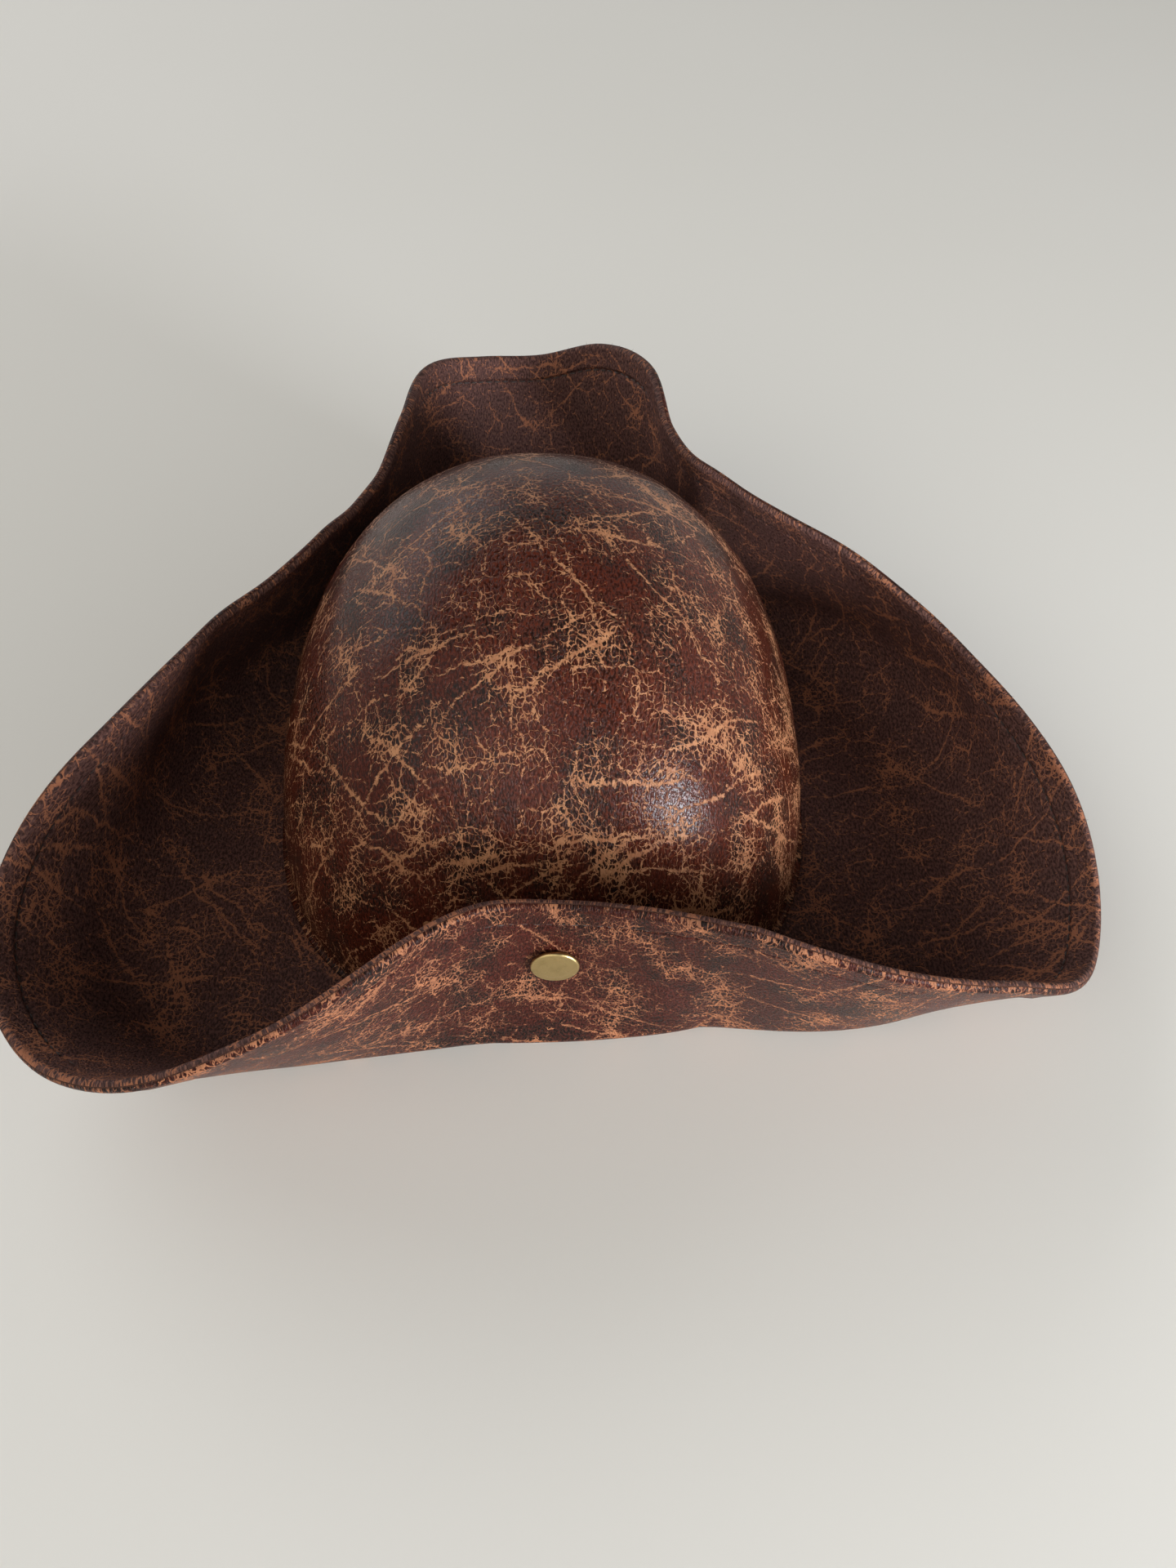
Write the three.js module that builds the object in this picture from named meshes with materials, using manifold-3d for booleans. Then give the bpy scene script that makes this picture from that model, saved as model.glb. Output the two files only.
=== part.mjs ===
// Tricorn hat of distressed brown leather: a hollow dome crown, a wide brim turned up
// into three flaps and two round side lobes, and the three brass snaps that hold the
// flaps to the crown. Millimetres, Z up. The low flap with the visible snap faces -Y,
// the raised spout faces +Y, and the hat rests on the flat of its brim.

import * as THREE from 'three';
import { mergeVertices } from 'three/addons/utils/BufferGeometryUtils.js';
import Module from 'manifold-3d';

// Crown
const CROWN_WIDTH = 167;
const CROWN_LENGTH = 184;
const CROWN_HEIGHT = 116;      // from the resting face to the top of the dome
const CROWN_WALL = 2;
const FOOT_RADIUS = 2;         // soft turn from the crown wall out on to the brim
const FOOT_EDGE = 0.6;         // thin outer edge of that foot
const FOOT_SQUARENESS = 2.55;  // of the plan at the foot: 2 is an ellipse, more is squarer
const TOP_SQUARENESS = 2.25;   // of the plan near the top
const DOME_SQUARENESS = 1.95;  // of the side outline

// Brim
const BRIM_WIDTH = 96;         // measured along the leather
const BRIM_WALL = 2;
const HEM_WIDTH = 9;           // edge of the leather turned back over itself
const HEM_WALL = 3.4;
const GROOVE_DEPTH = 0.5;      // where the stitches pull the hem in, on each face
const GROOVE_WIDTH = 1.5;

// Snaps
const CAP_RADIUS = 6.5;
const CAP_HEIGHT = 1.4;
const CAP_ROUNDING = 0.5;
const POST_RADIUS = 1.8;
const SOCKET_RADIUS = 4;
const WASHER_RADIUS = 5;
const WASHER_HEIGHT = 0.8;
const SNAP_HEIGHT = 44;        // snap centre above the resting face
const POST_REACH = 30;         // how far a post hole is cut, each way from the flap

// Clear space between two pieces that touch, and a length too small to count
const GAP = 0.3;
const HAIR = 0.03;

// Fineness of the surfaces
const BRIM_STATIONS = 90;
const CROWN_STATIONS = 72;
const FLAT_STEPS = 2;
const BEND_STEPS = 5;
const FACE_STEPS = 4;
const DOME_STEPS = 12;
const FOOT_STEPS = 2;
const ROUND_STEPS = 16;

// One row for each place around the crown where the brim changes. Angle is in degrees
// from +X towards +Y. Width, flat and bend are shares of BRIM_WIDTH: the whole width, the
// flat beside the crown and the radius of the fold. Turn is how far the fold turns up and
// flare how far the face above it eases back, in degrees.
const SECTIONS = [
  { angle: -90, width: 0.775, flat: 0.02, bend: 0.04, turn: 96, flare: 8 },
  { angle: -76, width: 0.82, flat: 0.02, bend: 0.045, turn: 91, flare: 8 },
  { angle: -62, width: 0.895, flat: 0.045, bend: 0.095, turn: 79, flare: 6 },
  { angle: -42, width: 1.005, flat: 0.36, bend: 0.155, turn: 63, flare: 0 },
  { angle: -28, width: 1.01, flat: 0.555, bend: 0.26, turn: 39, flare: 0 },
  { angle: -12, width: 1.01, flat: 0.445, bend: 0.27, turn: 61, flare: 0 },
  { angle: 8, width: 0.945, flat: 0.30, bend: 0.25, turn: 100, flare: 0 },
  { angle: 30, width: 0.96, flat: 0.12, bend: 0.18, turn: 114, flare: 4 },
  { angle: 50, width: 0.955, flat: 0.03, bend: 0.10, turn: 112, flare: 6 },
  { angle: 63, width: 0.96, flat: 0.03, bend: 0.10, turn: 104, flare: 6 },
  { angle: 72, width: 1.03, flat: 0.03, bend: 0.16, turn: 88, flare: 6 },
  { angle: 81, width: 1.05, flat: 0.04, bend: 0.24, turn: 79, flare: 6 },
  { angle: 90, width: 1.03, flat: 0.08, bend: 0.27, turn: 80, flare: 5 },
  { angle: 99, width: 1.02, flat: 0.06, bend: 0.24, turn: 81, flare: 6 },
  { angle: 108, width: 1.02, flat: 0.03, bend: 0.18, turn: 87, flare: 6 },
  { angle: 117, width: 0.98, flat: 0.03, bend: 0.11, turn: 101, flare: 6 },
  { angle: 130, width: 0.94, flat: 0.03, bend: 0.10, turn: 114, flare: 5 },
  { angle: 150, width: 0.96, flat: 0.03, bend: 0.14, turn: 117, flare: 0 },
  { angle: 172, width: 0.975, flat: 0.12, bend: 0.21, turn: 117, flare: 0 },
  { angle: 192, width: 1.01, flat: 0.25, bend: 0.22, turn: 98, flare: 0 },
  { angle: 208, width: 1.015, flat: 0.435, bend: 0.245, turn: 50, flare: 0 },
  { angle: 222, width: 0.99, flat: 0.435, bend: 0.205, turn: 44, flare: 0 },
  { angle: 242, width: 0.925, flat: 0.15, bend: 0.09, turn: 65, flare: 3 },
  { angle: 256, width: 0.85, flat: 0.04, bend: 0.055, turn: 88, flare: 6 },
];

// Snap places around the crown, in degrees
const SNAPS = [
  { name: 'snap_front', angle: -88 },
  { name: 'snap_left', angle: 127 },
  { name: 'snap_right', angle: 53 },
];

const CIRCLE = 360;
const FOOT_HEIGHT = BRIM_WALL + GAP;
const DOME_START = FOOT_HEIGHT + FOOT_EDGE + FOOT_RADIUS;

// Reach of the crown's plan from its middle, at its foot width, for a shell shrunk by
// `inset`. The plan grows rounder as `rise` goes from 0 at the foot to 1 at the top.
function wallRadius(angle, inset, rise) {
  const turn = THREE.MathUtils.degToRad(angle);
  const squareness = THREE.MathUtils.lerp(FOOT_SQUARENESS, TOP_SQUARENESS, rise);
  const across = Math.abs(Math.cos(turn)) / (CROWN_WIDTH / 2 - inset);
  const along = Math.abs(Math.sin(turn)) / (CROWN_LENGTH / 2 - inset);
  return (across ** squareness + along ** squareness) ** (-1 / squareness);
}

function polar(angle, radius, height) {
  const turn = THREE.MathUtils.degToRad(angle);
  return new THREE.Vector3(radius * Math.cos(turn), radius * Math.sin(turn), height);
}

// Evenly spaced angles all the way round
function stationAngles(stations) {
  return Array.from({ length: stations }, (_, station) => (CIRCLE * station) / stations);
}

// One column of the table as a smooth closed curve, read at any angle
function column(name, angle) {
  const first = SECTIONS[0].angle;
  const at = THREE.MathUtils.euclideanModulo(angle - first, CIRCLE) + first;
  const index = SECTIONS.findLastIndex((row) => row.angle <= at);
  const knot = (step) => {
    const place = index + step;
    const row = SECTIONS[THREE.MathUtils.euclideanModulo(place, SECTIONS.length)];
    const laps = Math.floor(place / SECTIONS.length);
    return { x: row.angle + CIRCLE * laps, y: row[name] };
  };
  const [before, start, end, after] = [knot(-1), knot(0), knot(1), knot(2)];
  const span = end.x - start.x;
  const t = (at - start.x) / span;
  const slopeIn = ((end.y - before.y) / (end.x - before.x)) * span;
  const slopeOut = ((after.y - start.y) / (after.x - start.x)) * span;
  const fromStart = (2 * t ** 3 - 3 * t ** 2 + 1) * start.y + (t ** 3 - 2 * t ** 2 + t) * slopeIn;
  const fromEnd = (3 * t ** 2 - 2 * t ** 3) * end.y + (t ** 3 - t ** 2) * slopeOut;
  return fromStart + fromEnd;
}

// The sizes of the brim at one angle, in millimetres and radians
function brimSizes(angle) {
  const flat = Math.max(column('flat', angle) * BRIM_WIDTH, FOOT_RADIUS + GAP);
  const bend = column('bend', angle) * BRIM_WIDTH;
  const turn = THREE.MathUtils.degToRad(column('turn', angle));
  const flare = THREE.MathUtils.degToRad(column('flare', angle));
  const width = column('width', angle) * BRIM_WIDTH;
  return { flat, bend, turn, flare, width, foldEnd: flat + bend * turn };
}

// Middle of the brim leather at one angle, `along` millimetres out from the crown wall:
// a flat, a round fold, then a face that eases back along a wide arc
function brimPoint(angle, along) {
  const { flat, bend, turn, flare, width, foldEnd } = brimSizes(angle);
  const folded = THREE.MathUtils.clamp((along - flat) / bend, 0, turn);
  const onFace = Math.max(along - foldEnd, 0);
  const eased = (flare * onFace) / (width - foldEnd);
  const heading = turn - eased / 2;
  const radius = Math.min(along, flat) + bend * Math.sin(folded) + onFace * Math.cos(heading);
  const height = bend * (1 - Math.cos(folded)) + onFace * Math.sin(heading);
  return polar(angle, wallRadius(angle, 0, 0) + radius, BRIM_WALL / 2 + height);
}

// Unit normal of the brim, on the side that faces away from the crown
function brimNormal(angle, along) {
  const out = brimPoint(angle, along + HAIR).sub(brimPoint(angle, along - HAIR));
  const round = brimPoint(angle + HAIR, along).sub(brimPoint(angle - HAIR, along));
  return round.cross(out).normalize();
}

// Places along the leather at one angle, each with the thickness there
function brimProfile(angle) {
  const { flat, foldEnd, width } = brimSizes(angle);
  const hem = width - HEM_WIDTH;
  const profile = [];
  const addSteps = (from, to, steps) => {
    for (let i = 0; i < steps; i += 1) {
      profile.push({ along: from + ((to - from) * i) / steps, wall: BRIM_WALL });
    }
  };
  addSteps(-CROWN_WALL, flat, FLAT_STEPS);
  addSteps(flat, foldEnd, BEND_STEPS);
  addSteps(foldEnd, hem - GROOVE_WIDTH, FACE_STEPS);
  profile.push({ along: hem - GROOVE_WIDTH, wall: BRIM_WALL });
  profile.push({ along: hem, wall: BRIM_WALL - 2 * GROOVE_DEPTH });
  profile.push({ along: hem + GROOVE_WIDTH, wall: HEM_WALL });
  profile.push({ along: width - HEM_WALL / 2, wall: HEM_WALL });
  profile.push({ along: width, wall: HEM_WALL / 2 });
  return profile;
}

// Triangles between neighbouring closed rings of equal length; `wraps` joins the last
// ring to the first
function stitchRings(rings, wraps) {
  const size = rings[0].length;
  const index = [];
  const last = wraps ? rings.length : rings.length - 1;
  for (let i = 0; i < last; i += 1) {
    const next = (i + 1) % rings.length;
    for (let j = 0; j < size; j += 1) {
      const beside = (j + 1) % size;
      const [a, b] = [i * size + j, next * size + j];
      const [c, d] = [next * size + beside, i * size + beside];
      index.push(a, c, b, a, d, c);
    }
  }
  return index;
}

function meshGeometry(points, index) {
  const geometry = new THREE.BufferGeometry().setFromPoints(points);
  geometry.setIndex(index);
  return geometry;
}

// Brim as a closed ring of sections: the face towards the crown, then the outer face back
function brimGeometry() {
  const rings = stationAngles(BRIM_STATIONS).map((angle) => {
    const profile = brimProfile(angle);
    const face = (side) => ({ along, wall }) => {
      const middle = brimPoint(angle, along);
      return middle.addScaledVector(brimNormal(angle, along), (side * wall) / 2);
    };
    const inner = profile.map(face(-1));
    const outer = profile.map(face(1)).reverse();
    return [...inner, ...outer];
  });
  return meshGeometry(rings.flat(), stitchRings(rings, true));
}

// One level ring of points, `reach` from the middle at each angle
function crownRing(height, reach) {
  return stationAngles(CROWN_STATIONS).map((angle) => polar(angle, reach(angle), height));
}

// Rings of a dome from its foot to just below its top
function domeRings(inset) {
  const rings = [];
  for (let step = 0; step < DOME_STEPS; step += 1) {
    const t = ((Math.PI / 2) * step) / DOME_STEPS;
    const share = Math.cos(t) ** (2 / DOME_SQUARENESS);
    const rise = Math.sin(t) ** (2 / DOME_SQUARENESS);
    const height = THREE.MathUtils.lerp(DOME_START, CROWN_HEIGHT - inset, rise);
    rings.push(crownRing(height, (angle) => wallRadius(angle, inset, rise) * share));
  }
  return rings;
}

// The foot of the crown: its underside, then the soft turn up into the wall
function footRings() {
  const rings = [
    crownRing(FOOT_HEIGHT, (angle) => wallRadius(angle, CROWN_WALL, 0)),
    crownRing(FOOT_HEIGHT, (angle) => wallRadius(angle, 0, 0) + FOOT_RADIUS),
  ];
  for (let step = 0; step < FOOT_STEPS; step += 1) {
    const t = ((Math.PI / 2) * step) / FOOT_STEPS;
    const spread = FOOT_RADIUS * (1 - Math.sin(t));
    const height = DOME_START - FOOT_RADIUS * Math.cos(t);
    rings.push(crownRing(height, (angle) => wallRadius(angle, 0, 0) + spread));
  }
  return rings;
}

// Crown as one shell: down the inside from its top to the foot, round it and up again
function crownGeometry() {
  const rings = [...domeRings(CROWN_WALL).reverse(), ...footRings(), ...domeRings(0)];
  const points = rings.flat();
  const index = stitchRings(rings, false);
  const insideTop = points.length;
  points.push(new THREE.Vector3(0, 0, CROWN_HEIGHT - CROWN_WALL));
  const outsideTop = points.length;
  points.push(new THREE.Vector3(0, 0, CROWN_HEIGHT));
  const lastRing = (rings.length - 1) * CROWN_STATIONS;
  for (let j = 0; j < CROWN_STATIONS; j += 1) {
    const beside = (j + 1) % CROWN_STATIONS;
    index.push(insideTop, beside, j);
    index.push(outsideTop, lastRing + j, lastRing + beside);
  }
  return meshGeometry(points, index);
}

const wasm = await Module();
wasm.setup();

function solidOf(geometry) {
  const bare = geometry.clone();
  bare.deleteAttribute('normal');
  bare.deleteAttribute('uv');
  const merged = mergeVertices(bare);
  const vertProperties = new Float32Array(merged.attributes.position.array);
  const triVerts = new Uint32Array(merged.index.array);
  return new wasm.Manifold(new wasm.Mesh({ numProp: 3, vertProperties, triVerts }));
}

function geometryOf(solid) {
  const { vertProperties, triVerts } = solid.getMesh();
  const geometry = new THREE.BufferGeometry();
  geometry.setAttribute('position', new THREE.BufferAttribute(vertProperties, 3));
  geometry.setIndex(new THREE.BufferAttribute(triVerts, 1));
  return geometry;
}

// Distance along the leather at which the brim reaches a height
function alongAtHeight(angle, height) {
  const { flat, width } = brimSizes(angle);
  let [low, high] = [flat, width];
  while (high - low > HAIR) {
    const middle = (low + high) / 2;
    if (brimPoint(angle, middle).z < height) {
      low = middle;
    } else {
      high = middle;
    }
  }
  return low;
}

// Centre of a snap on the flap and the direction in which it looks away from the crown
function snapSeat(angle) {
  const along = alongAtHeight(angle, SNAP_HEIGHT);
  return { centre: brimPoint(angle, along), axis: brimNormal(angle, along) };
}

// How far in from `start` a ring of rays meets the faces of flap and crown, in order:
// flap outside, flap inside, crown outside, crown inside
function facesBehind(start, axis, radius, leather) {
  const inward = axis.clone().negate();
  const side = new THREE.Vector3(0, 0, 1).cross(axis).normalize();
  const up = axis.clone().cross(side);
  const rays = [];
  for (let step = 0; step < ROUND_STEPS; step += 1) {
    const turn = (2 * Math.PI * step) / ROUND_STEPS;
    const from = start.clone();
    from.addScaledVector(side, radius * Math.cos(turn));
    from.addScaledVector(up, radius * Math.sin(turn));
    const hits = new THREE.Raycaster(from, inward).intersectObjects(leather);
    const distances = hits.map((hit) => hit.distance);
    rays.push(distances.filter((far, i) => i === 0 || far - distances[i - 1] > HAIR));
  }
  return [0, 1, 2, 3].map((face) => {
    const distances = rays.map((ray) => ray[face]);
    return { near: Math.min(...distances), far: Math.max(...distances) };
  });
}

// Snap as one turned piece: cap on the flap, post through flap and crown, a socket that
// fills the room between them, and a washer inside the crown
function snapGeometry({ centre, axis }, leather) {
  const start = centre.clone().addScaledVector(axis, CAP_RADIUS);
  const underCap = facesBehind(start, axis, CAP_RADIUS, leather)[0].near - GAP;
  const [, flapInside, crownOutside] = facesBehind(start, axis, SOCKET_RADIUS, leather);
  const crownInside = facesBehind(start, axis, WASHER_RADIUS, leather)[3];
  const socketTop = flapInside.far + GAP;
  const socketEnd = crownOutside.near - GAP;
  const washerTop = crownInside.far + GAP;
  const washerEnd = washerTop + WASHER_HEIGHT;
  const outline = [
    [0, washerEnd],
    [WASHER_RADIUS, washerEnd],
    [WASHER_RADIUS, washerTop],
    [POST_RADIUS, washerTop],
    [POST_RADIUS, socketEnd],
    [SOCKET_RADIUS, socketEnd],
    [SOCKET_RADIUS, socketTop],
    [POST_RADIUS, socketTop],
    [POST_RADIUS, underCap],
    [CAP_RADIUS, underCap],
    [CAP_RADIUS, underCap - CAP_HEIGHT + CAP_ROUNDING],
    [CAP_RADIUS - CAP_ROUNDING, underCap - CAP_HEIGHT],
    [0, underCap - CAP_HEIGHT],
  ];
  const profile = outline.map(([radius, depth]) => new THREE.Vector2(radius, -depth));
  const geometry = new THREE.LatheGeometry(profile, ROUND_STEPS);
  const upright = new THREE.Vector3(0, 1, 0);
  geometry.applyQuaternion(new THREE.Quaternion().setFromUnitVectors(upright, axis));
  geometry.translate(start.x, start.y, start.z);
  return geometry;
}

// Round hole for a post, reaching through flap and crown wall
function postHole({ centre, axis }) {
  const radius = POST_RADIUS + GAP;
  const geometry = new THREE.CylinderGeometry(radius, radius, 2 * POST_REACH, ROUND_STEPS);
  const upright = new THREE.Vector3(0, 1, 0);
  geometry.applyQuaternion(new THREE.Quaternion().setFromUnitVectors(upright, axis));
  geometry.translate(centre.x, centre.y, centre.z);
  return geometry;
}

function leatherPiece(name, geometry, color) {
  const side = THREE.DoubleSide;
  const material = new THREE.MeshStandardMaterial({ color, side, roughness: 0.5, metalness: 0 });
  const holes = SNAPS.map(({ angle }) => solidOf(postHole(snapSeat(angle))));
  const cut = holes.reduce((solid, hole) => solid.subtract(hole), solidOf(geometry));
  const mesh = new THREE.Mesh(geometryOf(cut), material);
  mesh.name = name;
  return mesh;
}

function snapPiece(name, angle, leather) {
  const material = new THREE.MeshStandardMaterial({
    color: 0xb59a62, roughness: 0.32, metalness: 1,
  });
  const mesh = new THREE.Mesh(snapGeometry(snapSeat(angle), leather), material);
  mesh.name = name;
  return mesh;
}

const crown = leatherPiece('crown', crownGeometry(), 0x5a2c1e);
const brim = leatherPiece('brim', brimGeometry(), 0x452620);
const snaps = SNAPS.map(({ name, angle }) => snapPiece(name, angle, [crown, brim]));

// The origin is the middle of the hat's outline, on the face that it rests on
const hat = new THREE.Group();
hat.add(crown, brim, ...snaps);
const bounds = new THREE.Box3().setFromObject(hat);
const middle = bounds.getCenter(new THREE.Vector3());
hat.position.set(-middle.x, -middle.y, -bounds.min.z);

export default hat;
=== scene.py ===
# %% [markdown]
# # A tricorn hat of distressed leather
#
# The hat has a hollow dome crown, one wide brim bent up into three flaps and two round
# corners, and three brass snaps that hold the flaps to the crown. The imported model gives
# the frame: metres, Z up, the low flap with the visible snap towards -Y, the hat standing
# on the flat of its brim. Each step below builds one piece in its place in that frame, and
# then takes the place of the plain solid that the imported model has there.

# %% Load the frame
import math

import bmesh
import bpy
import numpy as np
from mathutils import Matrix, Vector


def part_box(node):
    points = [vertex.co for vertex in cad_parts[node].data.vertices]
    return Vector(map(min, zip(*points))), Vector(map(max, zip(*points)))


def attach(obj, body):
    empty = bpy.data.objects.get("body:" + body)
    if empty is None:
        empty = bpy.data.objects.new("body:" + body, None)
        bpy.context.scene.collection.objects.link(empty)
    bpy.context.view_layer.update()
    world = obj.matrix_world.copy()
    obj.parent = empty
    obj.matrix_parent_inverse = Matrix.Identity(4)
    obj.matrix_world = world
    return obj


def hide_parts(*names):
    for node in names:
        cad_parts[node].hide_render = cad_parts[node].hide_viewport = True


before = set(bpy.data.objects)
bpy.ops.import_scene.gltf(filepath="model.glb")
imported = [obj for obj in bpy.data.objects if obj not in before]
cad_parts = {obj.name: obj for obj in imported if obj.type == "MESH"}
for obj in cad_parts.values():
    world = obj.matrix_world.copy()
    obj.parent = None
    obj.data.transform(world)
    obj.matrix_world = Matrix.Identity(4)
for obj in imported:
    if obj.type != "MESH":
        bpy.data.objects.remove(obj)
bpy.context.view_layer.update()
low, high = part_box("crown")
CENTRE = Vector(((low.x + high.x) / 2, (low.y + high.y) / 2, 0))
print("nodes", sorted(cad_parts), "crown centre", CENTRE[:])

# %% [markdown]
# ## Three helpers
#
# Colours are written as the six-digit sRGB values that a colour picker shows, and a shader
# wants them linear. A node tree is a long list of nodes, so one small function adds a node,
# sets it up and links it, and it serves shaders and Geometry Nodes alike. Where a value is
# worked out in many sums, they are rows of a table, and another function reads the table.

# %% Colour and node helpers
def colour(text):
    """Linear RGBA of an sRGB colour such as 4e2a24."""
    parts = [int(text[i : i + 2], 16) / 255 for i in (0, 2, 4)]
    return [p / 12.92 if p <= 0.04045 else ((p + 0.055) / 1.055) ** 2.4 for p in parts] + [1]


def add_node(tree, kind, inputs=(), **settings):
    """Adds a node. settings are its own options, inputs its sockets by name or number."""
    node = tree.nodes.new(kind)
    for name, value in settings.items():
        setattr(node, name, value)
    for key, value in dict(inputs).items():
        if isinstance(value, bpy.types.NodeSocket):
            tree.links.new(value, node.inputs[key])
        else:
            node.inputs[key].default_value = value
    return node


def add_rule(tree, known, rule):
    """Adds one Math node for each row of a rule: its result, its operation and its values."""
    for result, operation, *values in rule:
        given = {i: known[v] if isinstance(v, str) else v for i, v in enumerate(values)}
        known[result] = add_node(tree, "ShaderNodeMath", given, operation=operation).outputs[0]


print("helpers ready", colour("4e2a24")[:3])

# %% [markdown]
# ## The leather
#
# The material is a coated faux leather, printed and then cracked to look old: a thin
# semi-gloss skin of red-brown and charcoal over a tan ground. Where the skin is cracked or
# rubbed, the tan shows. The cracks come in three kinds, and all three are the distance from
# something, held against a width: a web of cells about 8 mm wide, a fine crackle of cells
# about 2 mm wide, and long creases, which are stretched cells. The crackle is widest beside
# the other two, so it frays them and joins up into blotches where they meet. The skin was
# rolled on to a woven cloth, so it carries a grain of short dashes, which breaks up each
# highlight into glints, and where it is most worn, specks of the tan show between them. The
# pattern is drawn on flat_place, an attribute of each piece that says where a point lay, in
# metres, while the leather was still a flat sheet. So the scale of each layer is one over a
# real size, and a crease runs on unbroken over a fold. Only the slope that makes one side of
# the hat more worn than the other is drawn on the place of the point in the standing hat.

# %% Sizes of the pattern in metres, and the colours that both leathers share
WEB_SIZE, CRACKLE_SIZE, BLOTCH_SIZE = 0.0078, 0.0021, 0.016
STROKE_SIZE = (0.26, 0.0075, 1)
STROKE_TURNS = {"stroke a": 0.58, "stroke b": 0.14, "stroke c": -0.8}
FEATHER_LENGTH, FEATHER_WIDTH = 0.0018, 0.0009
WARM_SIZE, CHARCOAL_SIZE, GROUND_SIZE = 0.03, 0.018, 0.004
PUSHES = ((0.028, 0.009), (0.0045, 0.0022), (0.0012, 0.0005))
DASHES_PER_METRE = (1400, 850, 1)
GRAIN_DEPTH, CRACK_DEPTH = 0.0001, 0.0001
# The inner skin and ground colours are painted shade: the leather is the same on both sides, and
# these give the greyer, duller look of the hollow inner side in shade
SHADE_PAINTED_INNER_SKIN, SHADE_PAINTED_INNER_GROUND, RUBBED_EDGE = "5c413b", "9c664c", "9a6c4c"
print("web", WEB_SIZE, "crackle", CRACKLE_SIZE, "creases", STROKE_SIZE[:2])

# %% Cracks, grain, roughness and rubbing of the leather, one sum to a row
CRACK_RULE = (
    ("stroke ab", "MINIMUM", "stroke a", "stroke b"),
    ("stroke", "MINIMUM", "stroke ab", "stroke c"),
    ("by stroke", "MULTIPLY_ADD", "stroke", -5.5, 0.9),
    ("beside stroke", "MAXIMUM", "by stroke", 0.0),
    ("by web", "MULTIPLY_ADD", "web", -3.2, 0.42),
    ("beside web", "MAXIMUM", "by web", 0.0),
    ("slow part", "MULTIPLY_ADD", "slow", 4.0, -1.97),
    ("leaning part", "ADD", "slow part", "lean"),
    ("hem part", "MULTIPLY_ADD", "near hem", 0.12, "leaning part"),
    ("with web", "ADD", "hem part", "beside web"),
    ("with stroke", "ADD", "with web", "beside stroke"),
    ("cracked", "MULTIPLY_ADD", "inside", 0.05, "with stroke"),
    ("jag", "SUBTRACT", "torn", 0.5),
    ("crackle base", "MULTIPLY_ADD", "cracked", 0.068, 0.014),
    ("crackle width", "MULTIPLY_ADD", "jag", 0.20, "crackle base"),
    ("crackle cover", "SUBTRACT", "crackle width", "crackle"),
    ("crackle line", "MULTIPLY", "crackle cover", 28.0),
    ("web base", "MULTIPLY_ADD", "slow part", 0.030, 0.015),
    ("web width", "MULTIPLY_ADD", "jag", 0.22, "web base"),
    ("web cover", "SUBTRACT", "web width", "web"),
    ("web line", "MULTIPLY", "web cover", 60.0),
    ("stroke width", "MULTIPLY_ADD", "jag", 0.28, 0.062),
    ("stroke cover", "SUBTRACT", "stroke width", "stroke"),
    ("stroke line", "MULTIPLY", "stroke cover", 24.0),
    ("speck start", "MULTIPLY_ADD", "cracked", 0.5, -1.74),
    ("speck cover", "MULTIPLY_ADD", "weave", 2.2, "speck start"),
    ("speck line", "MULTIPLY", "speck cover", 5.0),
    ("lines", "MAXIMUM", "crackle line", "web line"),
    ("long lines", "MAXIMUM", "stroke line", "speck line"),
    ("all lines", "MAXIMUM", "lines", "long lines"),
    ("above none", "MAXIMUM", "all lines", 0.0),
    ("worn", "MINIMUM", "above none", 1.0),
    ("raised", "MULTIPLY_ADD", "weave", 7.0, -3.0),
    ("flat topped", "MINIMUM", "raised", 1.0),
    ("stepped", "MAXIMUM", "flat topped", 0.0),
    ("grain", "MULTIPLY_ADD", "weave", 0.8, "stepped"),
    ("dull side", "MULTIPLY_ADD", "inside", 0.25, "gloss"),
    ("roughness", "MULTIPLY_ADD", "worn", 0.25, "dull side"),
    # The next row is the mask of the inner side's painted-shade colours; it is no stain
    ("painted_inner_shade", "MULTIPLY", "inside", 0.85),
    ("rubbed", "MULTIPLY_ADD", "weave", 4.0, -2.4),
    ("rim", "MULTIPLY", "rubbed", "edge"),
    ("sooty", "MULTIPLY_ADD", "weave", -2.4, 1.9),
)
print("crack rule", len(CRACK_RULE), "sums")


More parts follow.
